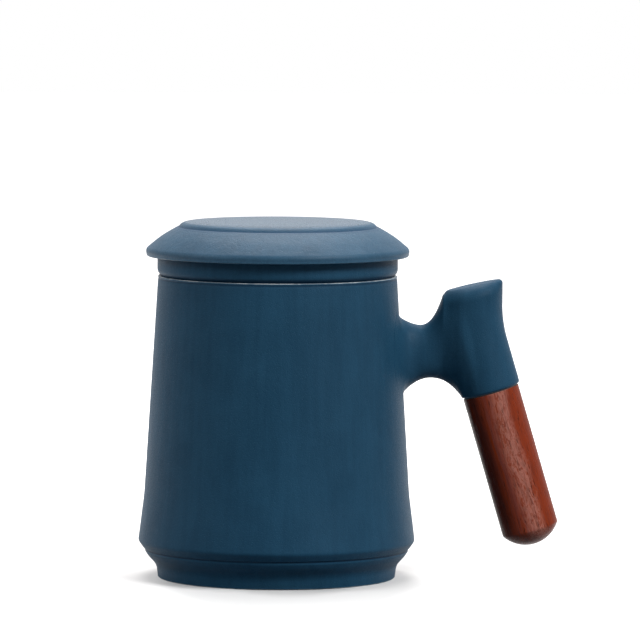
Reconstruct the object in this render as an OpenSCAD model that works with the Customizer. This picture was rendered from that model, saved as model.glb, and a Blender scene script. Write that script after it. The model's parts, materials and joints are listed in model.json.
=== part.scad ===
// Lidded stoneware tea mug with a lift-out infuser and a wooden grip.
// +Z is up, the mug's own axis is Z, the table is z = 0 and the handle points to +X.

/* [Mug] */
// Height of the mug's rim above the table
mug_h = 101.3; // [96:0.1:125]
// Outside diameter of the rim
rim_d = 80.4; // [76:0.2:98]
// Outside diameter of the widest edge, low on the wall
flare_d = 93; // [88:0.5:112]
// Height of the widest edge
flare_h = 13; // [11.5:0.5:16]
// Height at which the wall starts to flare
shoulder_h = 28; // [22:1:40]
// Outside diameter of the foot
foot_d = 80; // [66:1:84]
// Height of the crease between the foot and the wall
crease_h = 9.9; // [8:0.1:10.5]
// Width of the foot ring that touches the table
foot_ring = 4; // [3:0.5:6]
// Depth of the recess inside the foot ring
foot_recess = 2.6; // [1.5:0.1:3.5]
// Thickness of the mug's wall
mug_wall = 3.7; // [3:0.1:4.6]
// Thickness of the mug's floor
mug_floor = 5; // [4:0.5:7]

/* [Infuser] */
// Height of the band that stands on the mug's rim
band_h = 7.2; // [6:0.1:12]
// How far the band stands out beyond the mug's rim, on the radius
band_proud = 0.25; // [0:0.05:1]
// Depth of the infuser below the mug's rim
infuser_depth = 70; // [50:1:80]
// Thickness of the infuser's wall and floor
infuser_wall = 3; // [2.4:0.1:3.6]
// Lean of the infuser's wall, towards its floor, in degrees
infuser_lean = 4; // [2:0.5:6]
// Diameter of each strainer hole
hole_d = 2.4; // [1.6:0.1:3]
// Spacing of the rings of holes in the floor
hole_pitch = 6; // [5:0.5:7]
// Rings of holes around the floor's middle hole
hole_rings = 3; // [1:1:3]
// Rows of holes in the wall
hole_rows = 4; // [1:1:5]
// Holes in each row
row_holes = 20; // [12:1:24]

/* [Lid] */
// How far the lid's rounded edge stands out beyond the band, on the radius
lid_overhang = 4; // [3:0.1:8]
// Height of the lid above the infuser's band
lid_h = 11.5; // [10:0.5:14]
// Diameter of the raised flat on top, which the turned lid stands on
boss_d = 62.4; // [54:0.2:64]
// Height of the raised flat above the slope around it
boss_h = 1.9; // [1.4:0.1:2.6]
// Thickness of the lid under the raised flat
lid_wall = 5.5; // [4:0.5:6]
// Depth of the ring that keeps the lid in the infuser's mouth
ring_h = 4; // [3:0.5:6]
// Thickness of that ring
ring_wall = 3; // [2.4:0.1:3.6]

/* [Handle bracket] */
// Height of the neck's centre line above the table
neck_z = 76.4; // [72:0.2:82]
// Distance from the mug's wall to the axis of the bracket's head
neck_reach = 24.1; // [21:0.1:30]
// Height of the neck where it is slimmest
neck_h = 17.8; // [14:0.2:20]
// Depth of the neck where it is slimmest
neck_w = 11.6; // [11:0.2:14]
// Diameter of the head
head_d = 20.3; // [19.6:0.1:25]
// Height of the head's top above the neck's centre line
head_rise = 22.6; // [18:0.2:24]
// Slope of the head's top, in degrees
head_slope = 12.5; // [8:0.5:16]
// Distance of the seam below the neck's centre line
seam_drop = 13.1; // [12:0.1:18]

/* [Grip] */
// Lean of the grip, outwards at its foot, in degrees
grip_lean = 16.4; // [12:0.2:20]
// Diameter of the wooden grip
grip_d = 19; // [17:0.1:19.2]
// Length from the seam to the tip of the grip
grip_len = 53.8; // [42:0.2:60]
// Radius of the grip's domed end
dome_r = 11.4; // [11:0.2:16]
// Thickness of the washer in the seam
washer_t = 0.4; // [0.4:0.1:1]

/* [Fixing] */
// Diameter of the stud that holds the grip
stud_d = 6; // [5:0.1:7.5]
// Length of the stud on each side of the seam
stud_reach = 12; // [9:0.5:16]
// Wall of the two threaded sleeves that the stud turns into
sleeve_wall = 1.2; // [1:0.1:1.6]
// Thickness of the cement round the sleeve in the bracket
cement_t = 0.6; // [0.4:0.1:0.8]

/* [Fits] */
// Play between the infuser and the mug's mouth, and between the lid and the infuser, on the radius
seat_play = 0.4; // [0.3:0.1:0.8]
// Play between the fixed pieces of the handle, on the radius
fix_play = 0.05; // [0.03:0.01:0.1]

/* [Hidden] */

glaze = "#1f4460";
cement = "#b9b4a8";
steel = "#b8bcc0";
brass = "#b5924c";
rubber = "#1b1b1d";
rosewood = "#7a3526";

// Smoothness of turned pieces, and the largest turn of one step of a rounded corner, in degrees
facets = 96;
arc_step = 10;

// Mug: the crease under the flared edge, the bead below it and the cove above the foot
rim_r = rim_d / 2;
flare_r = flare_d / 2;
foot_r = foot_d / 2;
shoulder_r = flare_r - 1.8;
mug_taper = (shoulder_r - rim_r) / (mug_h - shoulder_h);
mouth_r = rim_r - mug_wall;
inside_floor = foot_recess + mug_floor;
bead_r = flare_r - 2;
bead_z = crease_h - 1.1;
groove_r = bead_r - 0.4;
groove_z = crease_h - 0.25;
lip_r = bead_r + 0.4;
cove_r = foot_r + 0.5;
cove_z = 4.3;

// Infuser: the band's lower edge is bevelled, so the rim's flat top shows below it
band_r = rim_r + band_proud;
band_top = mug_h + band_h;
bevel_w = 1.6;
bevel_h = 1.9;
basket_r = mouth_r - seat_play;
basket_floor = mug_h - infuser_depth;
basket_foot_r = basket_r - infuser_depth * tan(infuser_lean);
throat_r = basket_r - infuser_wall;
strainer_top = basket_floor + infuser_wall;
row_pitch = 6.5;
first_row = strainer_top + 8;

// Lid
lid_r = band_r + lid_overhang;
lid_top = band_top + lid_h;
boss_r = boss_d / 2;
slope_top = lid_top - boss_h;
slope_r = boss_r + 2.85;
edge_r = lid_r + 0.05;
edge_z = band_top + 1.95;
ring_r = throat_r - seat_play;

// Handle bracket: the head's axis is upright above the bend and leans like the grip below it
head_r = head_d / 2;
head_top = neck_z + head_rise;
seam_z = neck_z - seam_drop;
bend_z = neck_z + 7.8;
bend_ease = 6;
head_x = wall_r(neck_z) + neck_reach;
seam_x = head_x + (bend_z - seam_z) * tan(grip_lean);
top_edge = 2.2;
seam_edge = 0.8;
skin_sides = 32;

// Neck: its top and its underside each curve away from the waist, to the mug and to the head
root_x = wall_r(neck_z);
waist_x = root_x + 0.3 * neck_reach;
waist_top = neck_z + neck_h / 2;
waist_bottom = neck_z - neck_h / 2;
head_left = head_x - head_r;
seam_left = seam_x - grip_d / 2 * cos(grip_lean);
corner_top = head_top - head_r * tan(head_slope) - 1;
corner_bottom = seam_z - grip_d / 2 * sin(grip_lean) - 0.7;
joint_x = head_x - 0.6 * head_r;
joint_half = 0.8 * head_r;
root_gap = 0.05;
root_rings = 8;

// Grip and its fixing
grip_r = grip_d / 2;
stud_r = stud_d / 2;
sleeve_bore = stud_r + fix_play;
sleeve_r = sleeve_bore + sleeve_wall;
cement_bore = sleeve_r + fix_play;
cement_r = cement_bore + cement_t;
socket_r = cement_r + fix_play;
end_play = 1;
cement_end = stud_reach + end_play + cement_t;

// Outside radius of the mug's wall at height z, above the flare
function wall_r(z) = rim_r + (mug_h - z) * mug_taper;

// Points of an outline given as [x, y, fillet radius], with each corner rounded by an arc
function unit(v) = v / norm(v);
function flat(p) = [p[0], p[1]];
function spun(v, a) = [v[0] * cos(a) - v[1] * sin(a), v[0] * sin(a) + v[1] * cos(a)];
function corner(before, at, after, r) =
    let (
        to_before = unit(before - at),
        to_after = unit(after - at),
        half = acos(to_before * to_after) / 2,
        reach = min(r / tan(half), 0.48 * norm(before - at), 0.48 * norm(after - at)),
        centre = at + unit(to_before + to_after) * reach / cos(half),
        start = at + to_before * reach - centre,
        finish = at + to_after * reach - centre,
        turn = (180 - 2 * half) * sign(cross(start, finish)),
        steps = ceil(abs(turn) / arc_step)
    )
    [for (i = [0:steps]) centre + spun(start, turn * i / steps)];
function rounded(path) =
    let (n = len(path))
    [for (i = [0:n - 1])
        let (at = path[i], before = path[(i + n - 1) % n], after = path[(i + 1) % n])
        each at[2] > 0 ? corner(flat(before), flat(at), flat(after), at[2]) : [flat(at)]];

module turned(path) {
    rotate_extrude($fn = facets) polygon(rounded(path));
}

// A closed skin through rings that all have the same number of points, each ring
// running anticlockwise as seen from the last one
module skin(rings) {
    sides = len(rings[0]);
    last = (len(rings) - 1) * sides;
    walls = [for (i = [0:len(rings) - 2], j = [0:sides - 1])
        let (a = i * sides + j, b = i * sides + (j + 1) % sides)
        each [[a, b + sides, b], [a, a + sides, b + sides]]];
    first_cap = [for (j = [0:sides - 1]) j];
    last_cap = [for (j = [sides - 1:-1:0]) last + j];
    polyhedron(points = [for (ring = rings) each ring], faces = concat(walls, [first_cap, last_cap]),
        convexity = 6);
}

// Mug: foot ring, cove, bead and crease, then the flared edge and the tapering wall
module mug_body() {
    color(glaze)
    turned([
        [0, foot_recess, 0],
        [foot_r - foot_ring - 1, foot_recess, 1],
        [foot_r - foot_ring, 0, 0.5],
        [foot_r, 0, 0.5],
        [cove_r, cove_z, 5],
        [bead_r, bead_z, 0.6],
        [groove_r, groove_z, 0.2],
        [lip_r, crease_h + 0.1, 0.3],
        [flare_r + 0.15, flare_h - 0.6, 1.8],
        [shoulder_r, shoulder_h, 60],
        [rim_r, mug_h, 0.6],
        [mouth_r, mug_h, 1],
        [wall_r(inside_floor) - mug_wall, inside_floor, 11],
        [0, inside_floor, 0],
    ]);
}

// Centre of the head at height z: the bend is eased over a short height
function bend(d) =
    d <= -bend_ease ? 0 : d >= bend_ease ? d : pow(d + bend_ease, 2) / (4 * bend_ease);
function head_axis(z) = [head_x + bend(bend_z - z) * tan(grip_lean), 0, z];
// A ring across the head, tilted up towards +X, smaller by inset and raised square to its plane
function head_ring(z, tilt, inset, raise) =
    [for (j = [0:skin_sides - 1])
        let (a = 360 * j / skin_sides, r = head_r - inset)
        head_axis(z) + [
            r * cos(a) * cos(tilt) - raise * sin(tilt),
            r * sin(a),
            r * cos(a) * sin(tilt) + raise * cos(tilt)
        ]];
module head_skin() {
    levels = 12;
    seam_rings = [for (a = [0:22.5:90])
        head_ring(seam_z, grip_lean, seam_edge * (1 - sin(a)), seam_edge * (1 - cos(a)))];
    side_rings = [for (i = [1:levels - 1])
        let (t = i / levels)
        head_ring(seam_z + (head_top - seam_z) * t, grip_lean + (head_slope - grip_lean) * t, 0, 0)];
    top_rings = [for (a = [0:22.5:90])
        head_ring(head_top, head_slope, top_edge * (1 - cos(a)), top_edge * (sin(a) - 1))];
    skin(concat(seam_rings, side_rings, top_rings));
}

// How far the neck has swollen at x, from nothing at start to rise at end
function swell(x, start, end, rise, power) =
    let (t = (x - start) / (end - start))
    t <= 0 ? 0 : rise * pow(t, power);
function neck_top(x) =
    min(waist_top + swell(x, waist_x, root_x, 2.3, 2)
            + swell(x, waist_x - 1.5, head_left, corner_top - waist_top, 2.55),
        head_top - 1.1 + (x - head_x) * tan(head_slope));
function neck_bottom(x) =
    max(waist_bottom - swell(x, waist_x + 2.6, root_x, 5.8, 2)
            - swell(x, waist_x + 2.6, seam_left, waist_bottom - corner_bottom, 2.25),
        seam_z + 0.3 + (x - seam_x) * tan(grip_lean));
function neck_half(x) =
    neck_w / 2 + swell(x, waist_x, root_x, 2.4, 2)
        + swell(min(x, joint_x), waist_x + 1, joint_x, joint_half - neck_w / 2, 2.4);
function neck_ring(x, share) =
    let (top = neck_top(x), bottom = neck_bottom(x), power = 0.87)
    [for (j = [0:skin_sides - 1])
        let (c = cos(360 * j / skin_sides), s = sin(360 * j / skin_sides))
        [
            x,
            share * neck_half(x) * sign(c) * pow(abs(c), power),
            (top + bottom) / 2 + share * (top - bottom) / 2 * sign(s) * pow(abs(s), power)
        ]];
// The neck's root, shrunk to a share of its size and laid on the mug's wall
function root_ring(share) =
    [for (p = neck_ring(root_x + 0.4, share))
        [sqrt(pow(wall_r(p[2]) + root_gap, 2) - p[1] * p[1]), p[1], p[2]]];
module neck_skin() {
    start = wall_r(neck_bottom(root_x)) + 0.8;
    end = head_x - 2;
    levels = 20;
    root = [for (i = [1:root_rings]) root_ring(i / root_rings)];
    neck = [for (i = [0:levels]) neck_ring(start + (end - start) * i / levels, 1)];
    skin(concat(root, neck));
}

// Puts a piece drawn along +Z on the grip's axis: z = 0 is the seam, and +Z runs down the grip
module on_grip() {
    translate([seam_x, 0, seam_z]) rotate([0, 180 - grip_lean, 0]) children();
}
module tube(r, bore, from, to) {
    translate([0, 0, from])
    difference() {
        cylinder(r = r, h = to - from, $fn = facets);
        translate([0, 0, -1]) cylinder(r = bore, h = to - from + 2, $fn = facets);
    }
}

// Bracket: head and neck blended into one skin, with the socket for the grip's fixing
module handle_bracket() {
    color(glaze)
    difference() {
        resize([0, head_d, 0]) union() {
            head_skin();
            neck_skin();
        }
        on_grip() translate([0, 0, -cement_end])
            cylinder(r = socket_r, h = cement_end + 5, $fn = facets);
    }
}

// Cement: a cup that beds the sleeve in the bracket's socket
module socket_cement() {
    color(cement)
    on_grip() difference() {
        translate([0, 0, -cement_end]) cylinder(r = cement_r, h = cement_end, $fn = facets);
        translate([0, 0, -cement_end + cement_t])
            cylinder(r = cement_bore, h = cement_end, $fn = facets);
    }
}

module bracket_sleeve() {
    color(steel)
    on_grip() tube(sleeve_r, sleeve_bore, -stud_reach - end_play / 2, 0);
}

module grip_stud() {
    color(steel)
    on_grip() turned([
        [0, -stud_reach, 0],
        [stud_r, -stud_reach, 0.6],
        [stud_r, stud_reach, 0.6],
        [0, stud_reach, 0],
    ]);
}

module seam_washer() {
    color(rubber)
    on_grip() tube(min(head_r - seam_edge, grip_r) - 0.1, stud_r + 0.3, 0, washer_t);
}

module grip_sleeve() {
    color(brass)
    on_grip() tube(sleeve_r, sleeve_bore, washer_t, stud_reach + end_play / 2);
}

// Grip: a turned rod with a domed end and a blind bore for its sleeve
module wood_grip() {
    bore_end = stud_reach + end_play;
    dome_z = grip_len - dome_r;
    dome_edge = asin((grip_r - 0.4) / dome_r);
    color(rosewood)
    on_grip() difference() {
        rotate_extrude($fn = facets) polygon(concat(
            rounded([
                [0, washer_t, 0],
                [grip_r, washer_t, 0.25],
                [grip_r, dome_z + dome_r * cos(dome_edge) - 0.6, 2],
                [dome_r * sin(dome_edge), dome_z + dome_r * cos(dome_edge), 0],
            ]),
            [for (i = [1:8])
                let (a = dome_edge * (1 - i / 8))
                [dome_r * sin(a), dome_z + dome_r * cos(a)]]
        ));
        translate([0, 0, -1]) cylinder(r = sleeve_r + fix_play, h = bore_end + 1, $fn = facets);
    }
}

// Infuser: the band stands on the mug's rim and the tapering basket hangs in the mouth
module infuser_shell() {
    turned([
        [0, basket_floor, 0],
        [basket_foot_r, basket_floor, 5],
        [basket_r, mug_h, 0.3],
        [band_r - bevel_w, mug_h, 0.5],
        [band_r, mug_h + bevel_h, 2.6],
        [band_r, band_top, 0.6],
        [throat_r, band_top, 1.2],
        [throat_r, mug_h, 40],
        [basket_foot_r - infuser_wall + 0.2, strainer_top, 4],
        [0, strainer_top, 0],
    ]);
}
module floor_holes() {
    translate([0, 0, basket_floor - 1]) {
        cylinder(d = hole_d, h = infuser_wall + 2, $fn = 24);
        for (ring = [1:hole_rings], i = [0:6 * ring - 1])
            rotate(60 * i / ring) translate([hole_pitch * ring, 0, 0])
                cylinder(d = hole_d, h = infuser_wall + 2, $fn = 24);
    }
}
module wall_holes() {
    for (row = [0:hole_rows - 1], i = [0:row_holes - 1])
        rotate(360 * (i + (row % 2) / 2) / row_holes)
        translate([basket_foot_r - infuser_wall - 2, 0, first_row + row * row_pitch])
        rotate([0, 90, 0])
        cylinder(d = hole_d, h = infuser_wall + 8, $fn = 24);
}
module infuser_cup() {
    color(glaze)
    difference() {
        infuser_shell();
        floor_holes();
        wall_holes();
    }
}

// Lid: the raised flat, the slope, the rounded edge, the seat and the ring under it
module lid() {
    color(glaze)
    turned([
        [0, lid_top, 0],
        [boss_r - 1.1, lid_top, 12],
        [boss_r + 1.1, lid_top - 0.8, 8],
        [slope_r - 0.75, slope_top + 0.4, 0.8],
        [slope_r - 0.4, slope_top - 0.1, 0.2],
        [slope_r, slope_top + 0.1, 0.3],
        [slope_r + 0.56 * (edge_r - slope_r), slope_top - 0.465 * (slope_top - edge_z), 30],
        [edge_r, edge_z, 2],
        [lid_r - 0.45, band_top, 0.5],
        [ring_r, band_top, 0.4],
        [ring_r, band_top - ring_h, 0.8],
        [ring_r - ring_wall, band_top - ring_h, 0.8],
        [ring_r - ring_wall, lid_top - lid_wall, 3],
        [0, lid_top - lid_wall, 0],
    ]);
}

mug_body();
handle_bracket();
socket_cement();
bracket_sleeve();
grip_stud();
seam_washer();
grip_sleeve();
wood_grip();
infuser_cup();
lid();
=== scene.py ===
"""Looks of a lidded stoneware tea mug with a hanging infuser and a rosewood grip.

The sizes of the pieces are in millimetres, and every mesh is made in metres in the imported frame's own axes.
Places and scales inside the finishes, and the studio's sizes, are in metres.
"""

import json
import logging
import math
from collections.abc import Callable
from dataclasses import dataclass, field
from enum import Enum
from functools import cached_property

import bpy
import numpy as np
from mathutils import Euler, Matrix, Quaternion, Vector

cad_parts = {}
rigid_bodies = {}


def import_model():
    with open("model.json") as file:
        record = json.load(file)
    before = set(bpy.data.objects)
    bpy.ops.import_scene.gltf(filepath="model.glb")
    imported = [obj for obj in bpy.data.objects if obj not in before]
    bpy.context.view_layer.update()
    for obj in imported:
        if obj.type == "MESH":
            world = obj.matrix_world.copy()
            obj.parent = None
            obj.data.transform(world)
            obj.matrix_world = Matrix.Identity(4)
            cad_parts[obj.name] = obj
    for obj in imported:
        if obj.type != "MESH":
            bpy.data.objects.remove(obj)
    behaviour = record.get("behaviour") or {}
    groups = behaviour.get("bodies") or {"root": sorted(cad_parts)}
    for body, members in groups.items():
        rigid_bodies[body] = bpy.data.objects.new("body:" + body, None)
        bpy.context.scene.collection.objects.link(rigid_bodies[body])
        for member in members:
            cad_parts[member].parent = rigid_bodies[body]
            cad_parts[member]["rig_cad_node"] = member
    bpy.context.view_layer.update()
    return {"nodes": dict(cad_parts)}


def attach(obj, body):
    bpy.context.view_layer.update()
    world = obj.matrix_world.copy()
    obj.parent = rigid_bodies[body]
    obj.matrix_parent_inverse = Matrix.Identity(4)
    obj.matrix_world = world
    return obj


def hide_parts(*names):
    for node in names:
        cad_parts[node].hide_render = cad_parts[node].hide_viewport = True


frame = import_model()

Array = np.ndarray
Rule = Callable[[Array], Array]
Socket = bpy.types.NodeSocket

MM = 0.001
LOG = logging.getLogger("tea_mug")


class Body(Enum):
    """The three loose bodies of the set."""

    MUG = "mug"
    INFUSER = "infuser"
    LID = "lid"


class Slot(Enum):
    """The record's material slots."""

    STONEWARE = "stoneware"
    CEMENT = "cement"
    STEEL = "steel"
    BRASS = "brass"
    WASHER = "washer"
    ROSEWOOD = "rosewood"


class Tree:
    """A node tree under construction, with short calls for the nodes that this file uses."""

    def __init__(self, tree: bpy.types.NodeTree) -> None:
        """Keeps the tree's own lists at hand."""
        self.tree = tree

    def add(self, kind: str, inputs: dict | None = None, **settings: object) -> bpy.types.Node:
        """Adds a node.

        Args:
            kind: the node's Blender class, without its ShaderNode prefix.
            inputs: for each input, by name or number, a socket to link or a plain value.
            settings: properties of the node itself.

        Returns:
            The new node.
        """
        node = self.tree.nodes.new("ShaderNode" + kind)
        for name, value in settings.items():
            setattr(node, name, value)
        for key, value in (inputs or {}).items():
            self.feed(node.inputs[key], value)
        return node

    def feed(self, socket: Socket, value: object) -> None:
        """Fills an input.

        Args:
            socket: the input.
            value: the socket to link, or the plain value to set.
        """
        if isinstance(value, Socket):
            self.tree.links.new(value, socket)
        else:
            socket.default_value = value

    def mix(self, share: object, first: object, second: object) -> Socket:
        """Mixes two colours by the second one's share, and returns the mixed colour."""
        return self.add("Mix", {0: share, 6: first, 7: second}, data_type="RGBA").outputs[2]

    def math(self, operation: str, first: object, second: object = 0.0) -> Socket:
        """Combines two numbers, and returns the result."""
        return self.add("Math", {0: first, 1: second}, operation=operation).outputs[0]

    def plus(self, first: object, second: object) -> Socket:
        """Adds two numbers, and returns the sum."""
        return self.math("ADD", first, second)

    def times(self, first: object, second: object) -> Socket:
        """Multiplies two numbers, and returns the product."""
        return self.math("MULTIPLY", first, second)

    def most(self, first: Socket, second: Socket) -> Socket:
        """Returns the larger of two numbers."""
        return self.math("MAXIMUM", first, second)

    def mark(self, name: str) -> Socket:
        """Returns the number that the mesh carries under a name, or 0 where it carries none."""
        return self.add("Attribute", attribute_name=name).outputs["Fac"]

    def spread(self, value: object, low: float, high: float, first: float = 0.0, last: float = 1.0) -> Socket:
        """Spreads the numbers from low to high over the range from first to last, and returns the result."""
        ends = {"Value": value, "From Min": low, "From Max": high, "To Min": first, "To Max": last}
        return self.add("MapRange", ends, interpolation_type="SMOOTHSTEP").outputs[0]

    def noise(
        self, place: Socket, scale: object, detail: float, rough: float = 0.5, bend: float = 0.0
    ) -> Socket:
        """Adds a noise, and returns its value."""
        inputs = {"Vector": place, "Scale": scale, "Detail": detail, "Roughness": rough, "Distortion": bend}
        return self.add("TexNoise", inputs).outputs[0]

    def stretched(self, place: Socket, scale: tuple) -> Socket:
        """Stretches coordinates, and returns them."""
        return self.add("Mapping", {"Vector": place, "Scale": scale}).outputs[0]


class Coat(Tree):
    """The tree of a new material, which ends in one Principled shader."""

    def __init__(self, name: str) -> None:
        """Makes the material.

        Args:
            name: the material's name.
        """
        self.material = bpy.data.materials.new(name)
        self.material.use_nodes = True
        super().__init__(self.material.node_tree)
        self.shader = next(n for n in self.tree.nodes if n.type == "BSDF_PRINCIPLED")

    @cached_property
    def place(self) -> Socket:
        """Returns the coordinates that stay on the piece as it moves, in metres."""
        return self.add("TexCoord").outputs["Object"]

    def give(self, name: str, value: Socket) -> None:
        """Links a socket to one of the shader's inputs."""
        self.tree.links.new(value, self.shader.inputs[name])

    def bump(self, height: Socket, depth: float) -> None:
        """Raises the surface, by the depth in metres where the height is 1."""
        node = self.add("Bump", {"Height": height, "Distance": depth, "Strength": 1.0})
        self.give("Normal", node.outputs[0])


class Effect(Enum):
    """The surface effects that several finishes share: the node group's name and its outputs."""

    GRAIN = ("fine_sandy_grain", "Height", "Tone")
    MOTTLE = ("soft_mottle", "Tone")
    RUNS = ("upright_runs", "Tone")


class EffectShelf:
    """Builds each effect's node group once and puts it in the materials that ask for it."""

    def __init__(self) -> None:
        """Starts with an empty shelf."""
        self.built: dict[Effect, bpy.types.NodeTree] = {}

    def place(self, coat: Coat, effect: Effect, scale: float) -> bpy.types.NodeOutputs:
        """Puts an effect in a material.

        Args:
            coat: the material's tree.
            effect: which effect.
            scale: how fine the effect is.

        Returns:
            The group node's outputs.
        """
        if effect not in self.built:
            self.built[effect] = self._group(effect)
        node = coat.tree.nodes.new("ShaderNodeGroup")
        node.node_tree = self.built[effect]
        coat.feed(node.inputs["Place"], coat.place)
        coat.feed(node.inputs["Scale"], scale)
        return node.outputs

    def _group(self, effect: Effect) -> bpy.types.NodeTree:
        """Builds an effect's node group.

        Args:
            effect: which effect.

        Returns:
            The group.
        """
        name, *labels = effect.value
        group = bpy.data.node_groups.new(name, "ShaderNodeTree")
        group.interface.new_socket(name="Place", in_out="INPUT", socket_type="NodeSocketVector")
        group.interface.new_socket(name="Scale", in_out="INPUT", socket_type="NodeSocketFloat")
        for label in labels:
            group.interface.new_socket(name=label, in_out="OUTPUT", socket_type="NodeSocketFloat")
        given = group.nodes.new("NodeGroupInput").outputs
        wanted = group.nodes.new("NodeGroupOutput").inputs
        tree, make = Tree(group), getattr(self, "_" + effect.name.lower())
        for label, value in zip(labels, make(tree, given["Place"], given["Scale"])):
            tree.feed(wanted[label], value)
        return group

    def _grain(self, tree: Tree, place: Socket, scale: Socket) -> tuple[Socket, Socket]:
        """Makes fine grains and pin-sized pits of a matte surface.

        Args:
            tree: the group's tree.
            place: the coordinates.
            scale: how fine the grains are.

        Returns:
            The height, and a tone that follows it.
        """
        grains = tree.noise(place, scale, 3.0, 0.65)
        coarse = tree.noise(place, tree.times(scale, 0.37), 1.0)
        cells = tree.add("TexVoronoi", {"Vector": place, "Scale": tree.times(scale, 0.5)})
        pits = tree.spread(cells.outputs["Distance"], 0.05, 0.32)
        height = tree.times(tree.plus(grains, tree.times(coarse, 0.6)), pits)
        return height, tree.spread(grains, 0.35, 0.68)

    def _mottle(self, tree: Tree, place: Socket, scale: Socket) -> tuple[Socket]:
        """Returns the tone of soft clouds of thicker and thinner colour."""
        return (tree.spread(tree.noise(place, scale, 4.0, 0.55, 0.4), 0.3, 0.7),)

    def _runs(self, tree: Tree, place: Socket, scale: Socket) -> tuple[Socket]:
        """Returns the tone of faint upright runs: narrow across, and long along the local Z axis."""
        runs = tree.noise(tree.stretched(place, (1.0, 1.0, 0.07)), scale, 3.0, 0.6)
        return (tree.spread(runs, 0.32, 0.68),)


SHELF = EffectShelf()


class Finish:
    """What every finish has: a slot of the record, and a way to paint a new material."""

    slot: Slot

    def paint(self, tree: Coat) -> None:
        """Fills the material's tree; each kind of finish has its own way."""
        raise NotImplementedError


@dataclass(frozen=True)
class MatteGlaze(Finish):
    """Matte deep-blue glaze over stoneware, paler on its ridges and darker in its hollows, where glaze pools
    and shade is painted; it may also carry a painted shadow line.

    It reads what its mesh carries: "ridge", "bare" (no glaze, and on the mug's rim also a painted highlight),
    "brushed" (uneven) and "rubbed" (smoother).
    """

    slot: Slot = Slot.STONEWARE
    deep: tuple = (0.0066, 0.0338, 0.065, 1.0)
    light: tuple = (0.0132, 0.054, 0.098, 1.0)
    thin: tuple = (0.03, 0.095, 0.16, 1.0)
    clay: tuple = (0.44, 0.48, 0.5, 1.0)
    clay_shade: tuple = (0.26, 0.3, 0.33, 1.0)
    pooled: tuple = (0.002, 0.018, 0.04, 1.0)
    pool_bottom: tuple = (0.1011, 0.1013)
    pool_top: tuple | None = None
    clouds: float = 0.4
    streaks: float = 0.25
    speckles: float = 0.35
    dimples: float = 0.0
    cloud_scale: float = 45.0
    streak_scale: float = 420.0
    clay_scale: float = 260.0
    dimple_scale: float = 140.0
    grain_scale: float = 2600.0
    grain_depth: float = 0.00005
    roughness: float = 0.5
    bare_roughness: float = 0.3
    rubbed_smoothness: float = 0.2
    specular: float = 0.07

    def paint(self, tree: Coat) -> None:
        """Paints the glaze.

        Args:
            tree: the material's tree.
        """
        grain = SHELF.place(tree, Effect.GRAIN, self.grain_scale)
        bare = tree.mark("bare")
        clay = tree.mix(grain["Tone"], self.clay, self.clay_shade)
        patches = tree.spread(tree.noise(tree.place, self.clay_scale, 3.0, 0.6), 0.4, 0.52, 0.45, 1.0)
        tree.give("Base Color", tree.mix(tree.times(bare, patches), self._colour(tree, grain["Tone"]), clay))
        dull = tree.spread(grain["Tone"], 0.0, 1.0, self.roughness + 0.06, self.roughness - 0.05)
        dull = tree.math("SUBTRACT", dull, tree.times(tree.mark("rubbed"), self.rubbed_smoothness))
        tree.give("Roughness", tree.plus(dull, tree.times(bare, self.bare_roughness)))
        tree.shader.inputs["Specular IOR Level"].default_value = self.specular
        height = grain["Height"]
        if self.dimples > 0:
            uneven = SHELF.place(tree, Effect.MOTTLE, self.dimple_scale)
            depth = tree.times(tree.mark("brushed"), self.dimples)
            height = tree.plus(height, tree.times(uneven["Tone"], depth))
        tree.bump(height, self.grain_depth)

    def _colour(self, tree: Coat, speckle: Socket) -> Socket:
        """Mixes the glaze's colour from clouds, streaks and speckles, paler ridges, and hollows and a shadow
        line darkened with painted shade.

        Args:
            tree: the material's tree.
            speckle: the tone of the fine grain.

        Returns:
            The colour.
        """
        clouds = SHELF.place(tree, Effect.MOTTLE, self.cloud_scale)
        runs = SHELF.place(tree, Effect.RUNS, self.streak_scale)
        tone = tree.times(clouds["Tone"], self.clouds)
        tone = tree.plus(tone, tree.times(runs["Tone"], self.streaks))
        tone = tree.plus(tone, tree.times(speckle, self.speckles))
        colour = tree.mix(tone, self.deep, self.light)
        ridge = tree.mark("ridge")
        worn = tree.times(tree.spread(ridge, 0.0, 1.0), tree.spread(speckle, 0.0, 1.0, 0.4, 0.9))
        colour = tree.mix(worn, colour, self.thin)
        # darker in the hollows: glaze that pools there, and painted shade in the lid's groove and the foot's
        # crease
        colour = tree.mix(tree.spread(ridge, 0.0, -0.5), colour, self.pooled)
        # a painted shadow: a dark band over a set span of heights, where the infuser's band stands on the
        # mug's rim
        if self.pool_top:
            height = tree.add("SeparateXYZ", {0: tree.place}).outputs["Z"]
            below = tree.spread(height, *self.pool_top, 1.0, 0.0)
            under = tree.times(below, tree.spread(height, *self.pool_bottom))
            colour = tree.mix(under, colour, self.pooled)
        return colour


@dataclass(frozen=True)
class Figure:
    """One scale of the wood's figure: a noise drawn out along the grain, and how it breaks up."""

    stretch: tuple
    detail: float = 3.0
    rough: float = 0.6
    bend: float = 0.0

    def lay(self, tree: Tree, place: Socket) -> Socket:
        """Lays the figure over coordinates, and returns its value."""
        return tree.noise(tree.stretched(place, self.stretch), 1.0, self.detail, self.rough, self.bend)


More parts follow.
